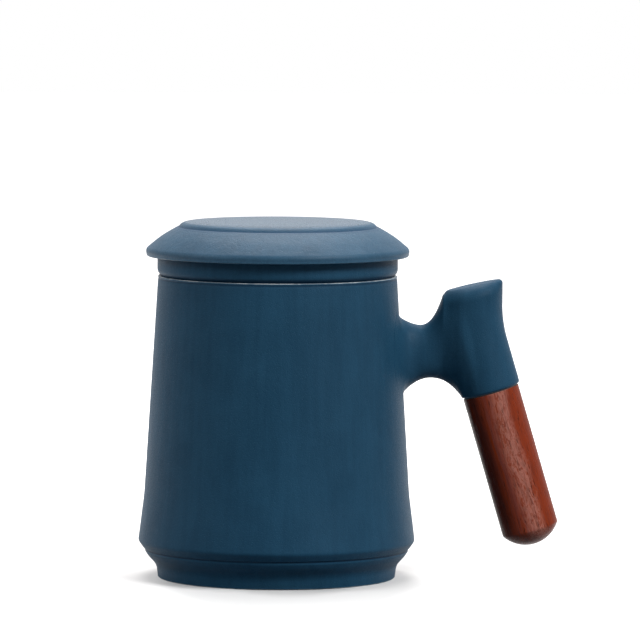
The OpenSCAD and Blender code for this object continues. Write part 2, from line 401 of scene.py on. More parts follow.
@dataclass(frozen=True)
class Rosewood(Finish):
    """Oiled red-brown wood with painted light across it: a painted shade down one side, a painted highlight
    as a pale streak down its middle, and a bright orange on its lit side.

    Its grain runs along the straight blank, whose coordinates the mesh carries as "blank", in metres.
    """

    slot: Slot = Slot.ROSEWOOD
    dark: tuple = (0.07, 0.014, 0.009, 1.0)
    middle: tuple = (0.19, 0.044, 0.032, 1.0)
    bright: tuple = (0.19, 0.0235, 0.0035, 1.0)
    pale: tuple = (0.38, 0.15, 0.113, 1.0)
    pore: tuple = (0.014, 0.003, 0.002, 1.0)
    waves: Figure = Figure((110.0, 110.0, 30.0), 3.0, 0.55)
    bands: Figure = Figure((520.0, 320.0, 22.0), 5.0, 0.65, 0.4)
    fibres: Figure = Figure((2000.0, 2000.0, 120.0), 3.0, 0.6, 0.3)
    flecks: Figure = Figure((1300.0, 1300.0, 420.0), 3.0, 0.65, 0.8)
    veins: Figure = Figure((260.0, 260.0, 12.0), 3.0, 0.6, 0.3)
    pores: Figure = Figure((2600.0, 2600.0, 300.0), 1.0, 0.5)
    sway: float = 0.005
    middle_x: float = 0.0032
    pore_depth: float = 0.00006
    specular: float = 0.045

    def paint(self, tree: Coat) -> None:
        """Paints the wood.

        Args:
            tree: the material's tree.
        """
        place = tree.add("Attribute", attribute_name="blank").outputs["Vector"]
        sway = tree.add("CombineXYZ", {0: tree.times(self.waves.lay(tree, place), self.sway)})
        swayed = tree.add("VectorMath", {0: place, 1: sway.outputs[0]}, operation="ADD").outputs[0]
        figures = (self.bands, self.fibres, self.flecks, self.veins, self.pores)
        bands, fibres, flecks, veins, pores = (figure.lay(tree, swayed) for figure in figures)
        pore_mask = tree.spread(pores, 0.62, 0.74)
        across = tree.plus(tree.add("SeparateXYZ", {0: swayed}).outputs["X"], -self.middle_x)
        # painted light: toward the key lamp's side the wood turns wholly to the bright orange
        right = tree.spread(across, 0.0026, 0.005, 0.0, 0.8)
        red = tree.most(tree.spread(bands, 0.34, 0.64), right)
        # painted shade: darker down the side away from the lamps, with a wavering edge
        shade_across = tree.plus(across, tree.times(tree.math("SUBTRACT", bands, 0.5), 0.012))
        # a painted highlight: a pale, flecked streak where the lamps' reflection falls on the grip
        streak = tree.times(tree.spread(across, -0.0038, 0.001), tree.spread(across, 0.0054, 0.0032))
        colour = tree.mix(red, self.middle, self.bright)
        for share, over in (
            # the painted shade down the side away from the lamps
            (tree.times(tree.spread(shade_across, -0.003, -0.009), 0.9), self.dark),  # the dark side
            (tree.times(tree.spread(veins, 0.54, 0.7), 0.7), self.dark),
            (tree.times(streak, tree.spread(flecks, 0.34, 0.6, 0.12, 0.85)), self.pale),
            (tree.times(tree.spread(fibres, 0.45, 0.7), 0.5), self.dark),
            (tree.times(tree.spread(flecks, 0.52, 0.68), 0.35), self.dark),
            (tree.times(pore_mask, 0.6), self.pore),
        ):
            colour = tree.mix(share, colour, over)
        tree.give("Base Color", colour)
        tree.give("Roughness", tree.spread(fibres, 0.3, 0.7, 0.22, 0.34))
        tree.shader.inputs["Specular IOR Level"].default_value = self.specular
        tree.bump(tree.math("SUBTRACT", tree.times(fibres, 0.35), pore_mask), self.pore_depth)


@dataclass(frozen=True)
class TurnedMetal(Finish):
    """Machined metal with fine turning marks and a faint haze."""

    slot: Slot = Slot.STEEL
    colour: tuple = (0.56, 0.57, 0.58, 1.0)
    tarnish: tuple = (0.4, 0.4, 0.41, 1.0)
    roughness: float = 0.3
    haze: float = 0.15
    mark_scale: tuple = (300.0, 300.0, 9000.0)
    mark_depth: float = 0.00002

    def paint(self, tree: Coat) -> None:
        """Paints the metal.

        Args:
            tree: the material's tree.
        """
        rings = tree.noise(tree.stretched(tree.place, self.mark_scale), 1.0, 2.0)
        mottle = SHELF.place(tree, Effect.MOTTLE, 300.0)
        tree.give("Base Color", tree.mix(mottle["Tone"], self.colour, self.tarnish))
        tree.give("Roughness", tree.spread(rings, 0.3, 0.7, self.roughness, self.roughness + self.haze))
        tree.shader.inputs["Metallic"].default_value = 1.0
        tree.bump(rings, self.mark_depth)


@dataclass(frozen=True)
class DullFill(Finish):
    """A dull, grainy fill such as cement or rubber."""

    slot: Slot = Slot.CEMENT
    colour: tuple = (0.5, 0.47, 0.42, 1.0)
    shade: tuple = (0.36, 0.34, 0.3, 1.0)
    roughness: float = 0.85
    grain_scale: float = 1800.0
    depth: float = 0.0001

    def paint(self, tree: Coat) -> None:
        """Paints the fill.

        Args:
            tree: the material's tree.
        """
        grain = SHELF.place(tree, Effect.GRAIN, self.grain_scale)
        mottle = SHELF.place(tree, Effect.MOTTLE, 250.0)
        tone = tree.times(tree.plus(grain["Tone"], mottle["Tone"]), 0.5)
        tree.give("Base Color", tree.mix(tone, self.colour, self.shade))
        tree.give("Roughness", tree.spread(grain["Tone"], 0.0, 1.0, self.roughness, self.roughness + 0.1))
        tree.bump(grain["Height"], self.depth)


MADE: dict[str, bpy.types.Material] = {}


def finish_up(piece: bpy.types.Object, finish: Finish, label: str) -> None:
    """Gives a piece its finish, in a material of the given name.

    Args:
        piece: the piece, or a node of the frame.
        finish: the finish it takes.
        label: the material's name.
    """
    if label not in MADE:
        coat = Coat(label)
        finish.paint(coat)
        MADE[label] = coat.material
    material = MADE[label]
    if piece.material_slots:
        for holder in piece.material_slots:
            holder.material = material
    else:
        piece.data.materials.append(material)


def new_piece(name: str, points: Array, faces: list) -> bpy.types.Object:
    """Makes a smooth mesh object and puts it in the scene.

    Args:
        name: the object's name.
        points: its points, in metres.
        faces: the point numbers of each face.

    Returns:
        The object.
    """
    mesh = bpy.data.meshes.new(name)
    mesh.from_pydata(points.tolist(), [], faces)
    mesh.polygons.foreach_set("use_smooth", [True] * len(faces))
    mesh.update()
    piece = bpy.data.objects.new(name, mesh)
    bpy.context.scene.collection.objects.link(piece)
    return piece


@dataclass
class Outline:
    """The half section of a turned piece, from one end of the axis to the other.

    Each corner has a radius, a height and a rounding. Stretches longer than the longest one wanted are cut,
    and the marks of the ridges fade over the spread.
    """

    corners: list[tuple[float, float, float]]
    arc_step: float = 6.0
    longest: float = 2.0
    spread: float = 0.9

    def points(self) -> tuple[Array, Array]:
        """Rounds the corners and cuts long stretches.

        Returns:
            The points, one row each, and how much of a ridge each is, from -1 in a sharp hollow to 1.
        """
        path: list[Array] = []
        ridges: list[tuple[Array, float]] = []
        flat = [np.array(c[:2], float) for c in self.corners]
        for index, (at, corner) in enumerate(zip(flat, self.corners)):
            if corner[2] <= 0 or index in (0, len(flat) - 1):
                path.append(at)
                continue
            arc, sharp = self._round(flat[index - 1], at, flat[index + 1], corner[2])
            path.extend(arc)
            ridges.append((arc.mean(0), sharp))
        cut = [path[0]]
        for point in path[1:]:
            start, gap = cut[-1], point - cut[-1]
            pieces = max(1, math.ceil(np.hypot(*gap) / self.longest))
            cut.extend(start + gap * step / pieces for step in range(1, pieces + 1))
        cut = np.array(cut)
        ridge = np.zeros(len(cut))
        for centre, sharp in ridges:
            near = np.exp(-((np.hypot(*(cut - centre).T) / self.spread) ** 2)) * sharp
            ridge = np.where(np.abs(near) > np.abs(ridge), near, ridge)
        return cut, ridge

    def _round(self, before: Array, at: Array, after: Array, radius: float) -> tuple[Array, float]:
        """Rounds one corner.

        Args:
            before: the corner before it.
            at: the corner.
            after: the corner after it.
            radius: the rounding's radius.

        Returns:
            The arc's points, and how sharp a ridge it is, from -1 for a hollow to 1.
        """
        back, on = before - at, after - at
        to_back, to_on = back / np.hypot(*back), on / np.hypot(*on)
        half = math.acos(max(-1.0, min(1.0, float(to_back @ to_on)))) / 2
        reach = min(radius / math.tan(half), 0.48 * np.hypot(*back), 0.48 * np.hypot(*on))
        middle = to_back + to_on
        centre = at + middle / np.hypot(*middle) * reach / math.cos(half)
        start, end = at + to_back * reach - centre, at + to_on * reach - centre
        turn = math.copysign(math.pi - 2 * half, start[0] * end[1] - start[1] * end[0])
        steps = max(2, math.ceil(abs(math.degrees(turn)) / self.arc_step))
        angles = np.linspace(0.0, turn, steps + 1)
        cos, sin = np.cos(angles), np.sin(angles)
        arc = np.stack((start[0] * cos - start[1] * sin, start[0] * sin + start[1] * cos), 1)
        sharp = math.copysign(min(1.0, abs(turn) / 1.2) / (1.0 + radius), turn)
        return arc + centre, sharp


@dataclass
class Turning:
    """Turns an outline into a closed mesh of even quads, which carries marks such as how bare it is."""

    name: str
    outline: Outline
    sides: int = 192
    marks: dict[str, Rule] = field(default_factory=dict)

    def build(self) -> bpy.types.Object:
        """Builds the piece upright on the Z axis.

        Returns:
            The piece.
        """
        path, ridge = self.outline.points()
        angles = np.arange(self.sides) * 2 * math.pi / self.sides
        rings = path[1:-1]
        r, z = rings[:, :1], rings[:, 1:]
        places = np.broadcast_arrays(r * np.cos(angles), r * np.sin(angles), z)
        round_points = np.stack(places, 2).reshape(-1, 3)
        ends = np.array([[0, 0, path[0][1]], [0, 0, path[-1][1]]])
        points = np.concatenate((round_points, ends)) * MM
        first, last = len(round_points), len(round_points) + 1
        around = [(j, (j + 1) % self.sides) for j in range(self.sides)]
        faces = []
        for ring in range(len(rings) - 1):
            a, b = ring * self.sides, (ring + 1) * self.sides
            faces.extend((a + j, a + k, b + k, b + j) for j, k in around)
        tail = (len(rings) - 1) * self.sides
        faces.extend((first, k, j) for j, k in around)
        faces.extend((last, tail + j, tail + k) for j, k in around)
        piece = new_piece(self.name, points, faces)
        marks = {"ridge": ridge} | {label: rule(path) for label, rule in self.marks.items()}
        for label, values in marks.items():
            layer = piece.data.attributes.new(label, "FLOAT", "POINT")
            spread = np.concatenate((np.repeat(values[1:-1], self.sides), values[[0, -1]]))
            layer.data.foreach_set("value", spread.astype(np.float32))
        return piece


@dataclass
class MugWall:
    """The mug's outside wall above its flare: a cone that widens by its taper for each mm down."""

    rim_r: float = 40.2
    top: float = 101.3
    shoulder_r: float = 44.7
    shoulder_z: float = 28.0

    def __post_init__(self) -> None:
        """Works out the taper."""
        self.taper = (self.shoulder_r - self.rim_r) / (self.top - self.shoulder_z)

    def radius(self, z: Array | float) -> Array | float:
        """Returns the wall's outside radius at a height."""
        return self.rim_r + (self.top - z) * self.taper

    def distance(self, p: Array) -> Array:
        """Returns how far points are outside the wall."""
        return (np.hypot(p[..., 0], p[..., 1]) - self.radius(p[..., 2])) * math.cos(math.atan(self.taper))


@dataclass
class MugBody:
    """The glazed mug: foot ring, cove, bead and crease, then the flared edge and the tapering wall."""

    wall: MugWall
    wall_t: float = 3.7
    floor: float = 7.6
    foot_r: float = 40.0
    foot_recess: float = 2.6
    flare_r: float = 46.5
    rim_bead: float = 0.45

    def bare(self, path: Array) -> Array:
        """Returns how bare the clay is: under the foot, and in a pale line on the rim where the infuser
        stands, which also serves as a painted highlight.
        """
        # the pale line on the rim's top stands in for the glaze's grazing sheen there: a painted highlight
        foot, rim = 1.0 - (path[:, 1] - 0.12) / 0.25, (path[:, 1] - self.wall.top - 0.22) / 0.12
        return np.maximum(np.clip(foot, 0, 1), np.clip(rim, 0, 0.8)) * (path[:, 0] > 30)

    def build(self) -> bpy.types.Object:
        """Builds the mug in place of its node.

        Returns:
            The piece.
        """
        rim, top, foot = self.wall.rim_r, self.wall.top, self.foot_r
        crest, bead = top + self.rim_bead, self.flare_r - 2
        ring = [
            (0, self.foot_recess, 0), (foot - 5, self.foot_recess, 1), (foot - 4, 0, 0.5), (foot, 0, 0.5),
        ]
        cove_and_bead = [
            (foot + 0.5, 4.3, 5), (bead - 1.2, 7.3, 3), (bead - 0.1, 8.9, 1.4), (bead - 0.1, 9.75, 0.15),
        ]
        flare = [
            (bead + 0.45, 10.05, 0.8), (self.flare_r + 0.13, 12.4, 1.8),
            (self.wall.shoulder_r, self.wall.shoulder_z, 60),
        ]
        lip = [
            (rim + 0.08, top - 1.2, 2), (rim - 0.1, top - 0.3, 0.3), (rim + 0.03, top + 0.05, 0.2),
            (rim + 0.03, crest, 0.35), (rim - 0.8, crest, 0.35), (rim - 1.3, top, 0.3),
        ]
        inside = [
            (rim - self.wall_t, top, 1), (self.wall.radius(self.floor) - self.wall_t, self.floor, 11),
            (0, self.floor, 0),
        ]
        outline = Outline(ring + cove_and_bead + flare + lip + inside, spread=0.35)
        piece = Turning("mug_body_glazed", outline, marks={"bare": self.bare}).build()
        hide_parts("mug_body")
        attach(piece, Body.MUG.value)
        finish_up(piece, MatteGlaze(), "mug_glaze")
        return piece


def soft_min(a: Array, b: Array, reach: Array | float) -> Array:
    """Joins two solids' distances with a hollow rounding, which starts at the reach from their joint."""
    near = np.clip(reach - np.abs(a - b), 0, None) / reach
    return np.minimum(a, b) - near ** 3 * reach / 6


def round_max(a: Array, b: Array, radius: Array | float) -> Array:
    """Returns the distances to what two solids share, with an edge of the radius between them."""
    outer = np.hypot(np.clip(a + radius, 0, None), np.clip(b + radius, 0, None))
    return np.minimum(np.maximum(a, b) + radius, 0) + outer - radius


def smooth_step(value: Array, low: float, high: float) -> Array:
    """Returns 0 below low, 1 above high and a smooth rise between."""
    share = np.clip((value - low) / (high - low), 0, 1)
    return share * share * (3 - 2 * share)


@dataclass
class SkinNet:
    """Lays an even net of quads on the surface where a distance field is zero."""

    low: tuple[float, float, float]
    high: tuple[float, float, float]
    step: float = 0.5
    smoothings: int = 4
    pulls: int = 3
    nudge: float = 0.01

    def lay(self, distance: Rule) -> tuple[Array, Array]:
        """Finds the surface.

        Args:
            distance: the field, from an array of points to an array of distances.

        Returns:
            The net's points and its quads.
        """
        axes = [np.arange(a, b + self.step, self.step) for a, b in zip(self.low, self.high)]
        grid = np.stack(np.meshgrid(*axes, indexing="ij"), -1)
        values = distance(grid)
        inside = values < 0
        cells = tuple(n - 1 for n in inside.shape)
        corners = [(i, j, k) for i in (0, 1) for j in (0, 1) for k in (0, 1)]
        count = sum(self._at(inside, c, cells).astype(int) for c in corners)
        crossed = (count > 0) & (count < 8)
        total, weight = np.zeros(cells + (3,)), np.zeros(cells)
        for c in corners:
            for axis in range(3):
                if c[axis]:
                    continue
                d = tuple(v + (n == axis) for n, v in enumerate(c))
                a, b = self._at(values, c, cells), self._at(values, d, cells)
                split = (a < 0) != (b < 0)
                share = np.where(split, a / np.where(split, a - b, 1), 0)[..., None]
                point = self._at(grid, c, cells) * (1 - share) + self._at(grid, d, cells) * share
                total += point * split[..., None]
                weight += split
        index = np.full(cells, -1)
        index[crossed] = np.arange(crossed.sum())
        points = total[crossed] / weight[crossed][:, None]
        quads = np.concatenate([self._quads(inside, index, axis) for axis in range(3)])
        return self._settle(points, quads, distance), quads

    @staticmethod
    def _at(data: Array, corner: tuple, cells: tuple) -> Array:
        """Returns what the grid holds at one corner of each cell."""
        return data[tuple(slice(c, c + count) for c, count in zip(corner, cells))]

    def _quads(self, inside: Array, index: Array, axis: int) -> Array:
        """Makes the quads round the grid's edges along one axis.

        Args:
            inside: which grid points are inside.
            index: each crossed cell's point number.
            axis: the axis of the edges.

        Returns:
            The quads, facing outwards.
        """
        order = [axis, (axis + 1) % 3, (axis + 2) % 3]
        solid, number = inside.transpose(order), index.transpose(order)
        a, b = solid[:-1, 1:-1, 1:-1], solid[1:, 1:-1, 1:-1]
        around = [number[:, :-1, :-1], number[:, 1:, :-1], number[:, 1:, 1:], number[:, :-1, 1:]]
        leaving, entering = a & ~b, ~a & b
        out = np.stack([n[leaving] for n in around], 1)
        back = np.stack([n[entering] for n in reversed(around)], 1)
        return np.concatenate((out, back))

    def _settle(self, points: Array, quads: Array, distance: Rule) -> Array:
        """Evens the net out and lays it exactly on the surface.

        Args:
            points: the net's points.
            quads: its quads.
            distance: the field.

        Returns:
            The settled points.
        """
        starts = quads.ravel()
        ends = np.roll(quads, -1, 1).ravel()
        for turn in range(self.smoothings + self.pulls):
            if turn < self.smoothings:
                total, weight = np.zeros_like(points), np.zeros(len(points))
                for a, b in ((starts, ends), (ends, starts)):
                    np.add.at(total, a, points[b])
                    np.add.at(weight, a, 1)
                points = points * 0.5 + total / weight[:, None] * 0.5
            sides = ((points + self.nudge * axis, points - self.nudge * axis) for axis in np.eye(3))
            slope = np.stack([(distance(far) - distance(near)) / (2 * self.nudge) for far, near in sides], 1)
            size = np.clip((slope ** 2).sum(1), 0.05, None)
            pull = slope * (distance(points) / size)[:, None]
            points = points - np.clip(pull, -self.step, self.step)
        return points


@dataclass
class HandleBracket:
    """The glazed bracket: a neck out of the mug's wall that swells into a leaning head above the grip."""

    wall: MugWall
    neck_z: float = 76.4
    reach: float = 24.1
    neck_h: float = 17.8
    neck_w: float = 11.6
    head_r: float = 10.15
    head_rise: float = 22.6
    slope: float = 12.5
    seam_drop: float = 13.1
    lean: float = 16.4
    grip_r: float = 9.5
    bend_rise: float = 7.8
    bend_ease: float = 6.0
    seam_edge: float = 0.8
    top_edge: float = 1.6
    socket_r: float = 4.95
    socket_depth: float = 13.6
    squareness: float = 2.3
    root_up: float = 2.3
    root_down: float = 5.8
    root_aside: float = 2.4
    top_start: float = -1.5
    top_power: float = 2.55
    bottom_start: float = 2.6
    bottom_power: float = 2.25

    def __post_init__(self) -> None:
        """Works out the places that the sizes give."""
        self.tan_lean = math.tan(math.radians(self.lean))
        self.tan_slope = math.tan(math.radians(self.slope))
        self.root_x = self.wall.radius(self.neck_z)
        self.head_x = self.root_x + self.reach
        self.head_top = self.neck_z + self.head_rise
        self.seam_z = self.neck_z - self.seam_drop
        self.bend_z = self.neck_z + self.bend_rise
        self.seam_x = self.head_x + (self.bend_z - self.seam_z) * self.tan_lean
        self.waist_x = self.root_x + 0.3 * self.reach

    def axis_x(self, z: Array) -> Array:
        """Finds where the head's centre is: upright above the bend, leaning below it.

        Args:
            z: the heights.

        Returns:
            The centre's x at each height.
        """
        drop = self.bend_z - z
        eased = np.clip(drop + self.bend_ease, 0, 2 * self.bend_ease) ** 2 / (4 * self.bend_ease)
        return self.head_x + np.where(drop > self.bend_ease, drop, eased) * self.tan_lean

    def tilt(self, z: Array) -> Array:
        """Returns how far the head's cross section is tilted at a height."""
        share = np.clip((z - self.seam_z) / (self.head_top - self.seam_z), 0, 1)
        return np.radians(self.lean + (self.slope - self.lean) * share)

    def leant(self, p: Array) -> Array:
        """Returns x as it would be if the head did not lean."""
        return p[..., 0] - self.axis_x(p[..., 2]) + self.head_x

    def turned(self, p: Array, z: float, angle: float) -> tuple[Array, Array]:
        """Measures points from a tilted plane that crosses the head's axis.

        Args:
            p: the points.
            z: the height at which it crosses the axis.
            angle: the plane's tilt, in degrees.

        Returns:
            How far they are along the plane, and how far above it.
        """
        cos, sin = math.cos(math.radians(angle)), math.sin(math.radians(angle))
        across, up = p[..., 0] - float(self.axis_x(np.array(z))), p[..., 2] - z
        return across * cos + up * sin, up * cos - across * sin

    def head(self, p: Array) -> Array:
        """Finds the distances to the head's side: a round column, upright at its top and leaning below.

        Args:
            p: the points.

        Returns:
            The distances.
        """
        x, y, z = p[..., 0], p[..., 1], p[..., 2]
        level = z
        for _ in range(6):
            level = z - (x - self.axis_x(level)) * np.tan(self.tilt(level))
        tilt = self.tilt(level)
        across = (x - self.axis_x(level)) * np.cos(tilt) + (z - level) * np.sin(tilt)
        evened = 0.98  # keeps the slope of the field at or under 1 where the column bends
        return (np.hypot(across, y) - self.head_r) * evened

    @staticmethod
    def swell(x: Array, start: float, end: float, rise: float, power: float) -> Array:
        """Returns how far the neck has swollen at x, from nothing at the start to the rise at the end."""
        return rise * np.clip((x - start) / (end - start), 0, None) ** power

    def neck(self, p: Array) -> Array:
        """Finds the distances to the neck: a squarish oval whose top and underside swell to both ends.

        Args:
            p: the points.

        Returns:
            The distances.
        """
        x = np.clip(p[..., 0], self.root_x - 4, self.head_x - 2)
        waist_top, waist_bottom = self.neck_z + self.neck_h / 2, self.neck_z - self.neck_h / 2
        left = self.head_x - self.head_r
        seam_left = self.seam_x - self.grip_r * math.cos(math.radians(self.lean))
        corner_top = self.head_top - self.head_r * self.tan_slope - 1
        corner_bottom = self.seam_z - self.grip_r * math.sin(math.radians(self.lean)) - 0.7
        # the top line, from the root's crest down to the waist and up to the head's top corner
        top = waist_top + self.swell(x, self.waist_x, self.root_x, self.root_up, 2)
        top = top + self.swell(x, self.waist_x + self.top_start, left, corner_top - waist_top, self.top_power)
        top = np.minimum(top, self.head_top - 1.1 + (x - self.head_x) * self.tan_slope)
        # the underside, from the root's foot up to the waist and down to the seam's near corner
        low_waist_x = self.waist_x + self.bottom_start
        bottom = waist_bottom - self.swell(x, low_waist_x, self.root_x, self.root_down, 2)
        drop = waist_bottom - corner_bottom
        bottom = bottom - self.swell(x, low_waist_x, seam_left, drop, self.bottom_power)
        seam = self.seam_z + 0.4 + (x - self.seam_x) * self.tan_lean
        bottom = -soft_min(-bottom, -seam, 2.0)
        # the half width, from the root through the waist to nearly the head's own
        half = self.neck_w / 2 + self.swell(x, self.waist_x, self.root_x, self.root_aside, 2)
        leant = self.leant(p)
        widening = smooth_step(leant, self.waist_x - 0.5, self.head_x)
        half = half + (0.96 * self.head_r - self.neck_w / 2) * widening
        tall, n = (top - bottom) / 2, self.squareness
        side = np.abs(p[..., 1]) / half + 1e-9
        rise = np.abs(p[..., 2] - (top + bottom) / 2) / tall + 1e-9
        size = (side ** n + rise ** n) ** (1 / n)
        steep = np.hypot(side ** (n - 1) / half, rise ** (n - 1) / tall) * size ** (1 - n)
        return np.maximum((size - 1) / steep, leant - self.head_x + 1)

    def socket(self, p: Array) -> Array:
        """Returns the distances to the bore for the grip's fixing, up from the seam."""
        across, up = self.turned(p, self.seam_z, self.lean)
        return np.maximum(np.hypot(across, p[..., 1]) - self.socket_r, up - self.socket_depth)

    def distance(self, p: Array) -> Array:
        """Finds the distances to the whole bracket, blended into the wall that it grows out of.

        Args:
            p: the points.

        Returns:
            The distances.
        """
        aside = np.abs(p[..., 1])
        # the neck meets the head tightly on top and below, and widely on its flanks
        reach = 0.6 + 4.5 * smooth_step(aside, 0.5, 5.0)
        reach = 0.05 + reach * (1 - smooth_step(self.leant(p), self.head_x - 5, self.head_x))
        solid = soft_min(self.neck(p), self.head(p), reach)
        top_edge = self.top_edge + 3.0 * smooth_step(aside, 1.0, 8.0)
        solid = round_max(solid, self.turned(p, self.head_top, self.slope)[1], top_edge)
        solid = round_max(solid, -self.turned(p, self.seam_z, self.lean)[1], self.seam_edge)
        wall = self.wall.distance(p)
        # the root blends into an oval patch of the wall, and ends a little way inside it
        patch = np.hypot(p[..., 1] / 15.0, (p[..., 2] - self.neck_z + 2) / 19.0) * 15 - 15
        blend = 0.9 + 5.5 * smooth_step(aside, 1.0, 7.5)
        solid = soft_min(solid, np.maximum(wall + 0.012, patch), blend)
        return np.maximum(np.maximum(solid, -wall - 1.3), -self.socket(p))

    def build(self) -> bpy.types.Object:
        """Builds the bracket in place of its node.

        Returns:
            The piece.
        """
        net = SkinNet((38.0, -16.5, 54.0), (83.5, 16.5, 101.5))
        points, quads = net.lay(self.distance)
        piece = new_piece("handle_bracket_glazed", points * MM, quads.tolist())
        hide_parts("handle_bracket")
        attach(piece, Body.MUG.value)
        finish_up(piece, MatteGlaze(), "mug_glaze")
        return piece


@dataclass
class InfuserCup:
    """The hanging strainer cup: it keeps its node, whose holes are the real ones."""

    def build(self) -> bpy.types.Object:
        """Glazes the infuser's node, and returns it."""
        # its glaze carries a painted shadow, a dark band just above where it stands on the mug's rim
        finish_up(frame["nodes"]["infuser_cup"], MatteGlaze(pool_top=(0.1024, 0.1034)), "infuser_glaze")
        return frame["nodes"]["infuser_cup"]


@dataclass
class Lid:
    """The lift-off lid: a raised flat, a slope with a rounded edge, and a ring that keeps it in place."""

    band_r: float = 40.45
    band_top: float = 108.5
    top: float = 120.0
    boss_r: float = 31.2
    overhang: float = 4.0
    ring_r: float = 32.7
    ring_t: float = 3.0
    ring_h: float = 4.0
    thick: float = 5.5

    def bare(self, path: Array) -> Array:
        """Returns how bare the clay is: only under the ring, where the lid stands when it is fired."""
        return np.clip(1.0 - (path[:, 1] - self.band_top + 3.9) / 0.2, 0, 1)

    def brushed(self, path: Array) -> Array:
        """Returns how uneven the glaze lies: only on the slope outside the raised flat."""
        return smooth_step(path[:, 0], self.boss_r + 2.6, self.boss_r + 4.6) * (path[:, 1] > self.band_top)

    def rubbed(self, path: Array) -> Array:
        """Returns how smooth hands have rubbed the glaze: only on the raised flat."""
        upper = path[:, 1] > self.band_top + 8
        return smooth_step(path[:, 0], self.boss_r + 1.2, self.boss_r - 0.8) * upper

    def build(self) -> bpy.types.Object:
        """Builds the lid in place of its node.

        Returns:
            The piece.
        """
        edge_r, slope_r = self.band_r + self.overhang + 0.05, self.boss_r + 2.85
        edge_z, slope_top = self.band_top + 1.95, self.top - 1.9
        under, ring_in = self.band_top - 0.1, self.ring_r - self.ring_t
        ring_z, ceiling = self.band_top - self.ring_h, self.top - self.thick
        flat = [
            (0, self.top, 0), (self.boss_r - 4.2, self.top, 30), (self.boss_r, self.top - 0.2, 8),
            (self.boss_r + 1.35, self.top - 0.75, 3),
        ]
        slope = [
            (slope_r - 0.5, slope_top - 0.03, 0.3), (slope_r - 0.1, slope_top - 0.02, 0.4),
            (slope_r + 0.5 * (edge_r - slope_r), slope_top - 0.4 * (slope_top - edge_z), 30),
        ]
        edge = [
            (edge_r - 0.02, edge_z + 0.25, 2), (edge_r - 0.5, under, 0.45), (edge_r - 2.4, under, 0.4),
            (self.band_r + 0.6, self.band_top, 0.6),
        ]
        ring = [
            (self.ring_r, self.band_top, 0.4), (self.ring_r, ring_z, 0.8), (ring_in, ring_z, 0.8),
            (ring_in, ceiling, 3), (0, ceiling, 0),
        ]
        marks = {"bare": self.bare, "brushed": self.brushed, "rubbed": self.rubbed}
        outline = Outline((flat + slope + edge + ring)[::-1])
        piece = Turning("lid_glazed", outline, marks=marks).build()
        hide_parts("lid")
        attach(piece, Body.LID.value)
        # the bluer colour in its hollows is painted shade, mostly in the groove round the raised flat
        glaze = MatteGlaze(pooled=(0.004, 0.034, 0.074, 1.0), clouds=0.55, dimples=1.6, specular=0.2)
        finish_up(piece, glaze, "lid_glaze")
        return piece


@dataclass
class Grip:
    """The wooden grip and what holds it to the bracket."""

    radius: float = 9.62
    length: float = 53.95
    dome_r: float = 11.4
    bore_r: float = 4.3
    bore_end: float = 13.0
    washer_t: float = 0.4
    lean: float = 16.4
    seam: tuple = (71.975, 0.0, 63.3)
    shift: float = -0.14

    def build(self) -> bpy.types.Object:
        """Builds the grip in place of its node, and dresses its fixing.

        Returns:
            The grip.
        """
        centre = self.length - self.dome_r
        edge = math.asin((self.radius - 0.35) / self.dome_r)
        corners = [
            (0, self.bore_end, 0), (self.bore_r, self.bore_end, 0), (self.bore_r, self.washer_t, 0),
            (self.radius, self.washer_t, 0.25), (self.radius, centre + self.dome_r * math.cos(edge) - 0.6, 2),
        ]
        angles = (edge * (1 - step / 10) for step in range(11))
        corners += [(self.dome_r * math.sin(a), centre + self.dome_r * math.cos(a), 0) for a in angles]
        piece = Turning("wood_grip_turned", Outline(corners)).build()
        turn = math.radians(self.lean)
        side = Vector((math.cos(turn), 0, math.sin(turn)))
        blank = np.empty(len(piece.data.vertices) * 3, np.float32)
        piece.data.vertices.foreach_get("co", blank)
        piece.data.attributes.new("blank", "FLOAT_VECTOR", "POINT").data.foreach_set("vector", blank)
        spin = Euler((0, turn - math.pi, math.pi)).to_matrix().to_4x4()
        piece.data.transform(Matrix.Translation((Vector(self.seam) + side * self.shift) * MM) @ spin)
        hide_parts("wood_grip")
        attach(piece, Body.MUG.value)
        finish_up(piece, Rosewood(), "grip_wood")
        nodes = frame["nodes"]
        steel = TurnedMetal()
        brass = TurnedMetal(
            slot=Slot.BRASS, colour=(0.62, 0.44, 0.2, 1.0), tarnish=(0.42, 0.29, 0.13, 1.0), roughness=0.34
        )
        # near black: the washer draws the seam's thin dark line, standing in part for the shade under the
        # bracket's rounded edge
        rubber = DullFill(
            slot=Slot.WASHER, colour=(0.012, 0.012, 0.014, 1.0), shade=(0.024, 0.024, 0.026, 1.0),
            roughness=0.7, grain_scale=3000.0, depth=0.00003,
        )
        finish_up(nodes["grip_stud"], steel, "stud_steel")
        finish_up(nodes["bracket_sleeve"], steel, "stud_steel")
        finish_up(nodes["grip_sleeve"], brass, "sleeve_brass")
        finish_up(nodes["socket_cement"], DullFill(), "socket_cement")
        finish_up(nodes["seam_washer"], rubber, "washer_rubber")
        return piece


@dataclass(frozen=True)
class Lamp:
    """A large soft lamp, which faces the mug's axis at a height; its power is in watts."""

    name: str
    place: tuple
    aim_z: float
    size: tuple
    power: float

    def hang(self) -> None:
        """Makes the lamp, turns it to the mug and puts it in the scene."""
        lamp = bpy.data.lights.new(self.name, "AREA")
        lamp.shape = "RECTANGLE"
        lamp.size, lamp.size_y = self.size
        lamp.energy = self.power
        holder = bpy.data.objects.new(self.name, lamp)
        bpy.context.scene.collection.objects.link(holder)
        holder.location = self.place
        holder.rotation_mode = "QUATERNION"
        way = Vector((0.0, 0.0, self.aim_z)) - Vector(self.place)
        holder.rotation_quaternion = way.to_track_quat("-Z", "Y")


